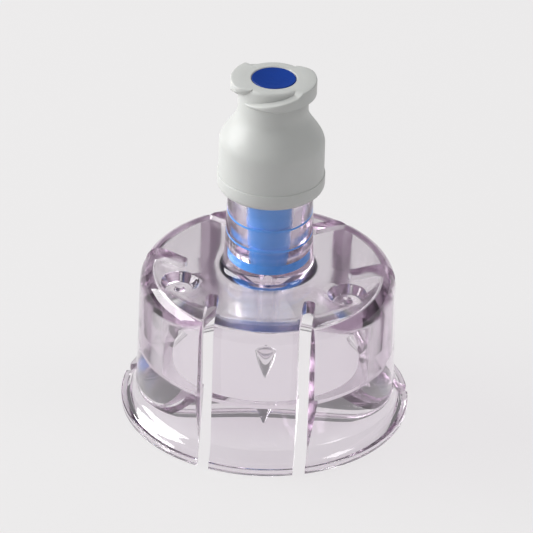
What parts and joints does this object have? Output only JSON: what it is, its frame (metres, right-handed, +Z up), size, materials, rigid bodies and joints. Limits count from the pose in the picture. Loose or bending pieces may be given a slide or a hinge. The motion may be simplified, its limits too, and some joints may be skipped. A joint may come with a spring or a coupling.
{
  "type": "vial access device",
  "caption": "Clear push-on vial adapter with a central spike, a slotted skirt and a flared rim, carrying a white needle-free luer valve with a blue silicone piston.",
  "frame": {"origin": "on the device's axis, in the plane of the rim's bottom face", "axes": "+Z up along the axis from the rim to the luer mouth; -Y through the middle of the strap that faces the viewer in the picture"},
  "size_m": [0.0276, 0.0276, 0.0353],
  "materials": {
    "clear_polycarbonate": "clear, faintly violet, polished",
    "white_housing": "satin, moulded",
    "blue_silicone": "smooth, soft"
  },
  "bodies": {
    "device": {"vial_adapter": "clear_polycarbonate", "valve_housing": "white_housing"},
    "piston": {"valve_piston": "blue_silicone"}
  },
  "joints": [
    {"name": "piston_press", "type": "slide", "parent": "device", "child": "piston", "axis": [0, 0, -1], "range_m": [0, 0.005], "stiffness_N_per_m": 1200, "deforming": ["valve_piston"]}
  ]
}
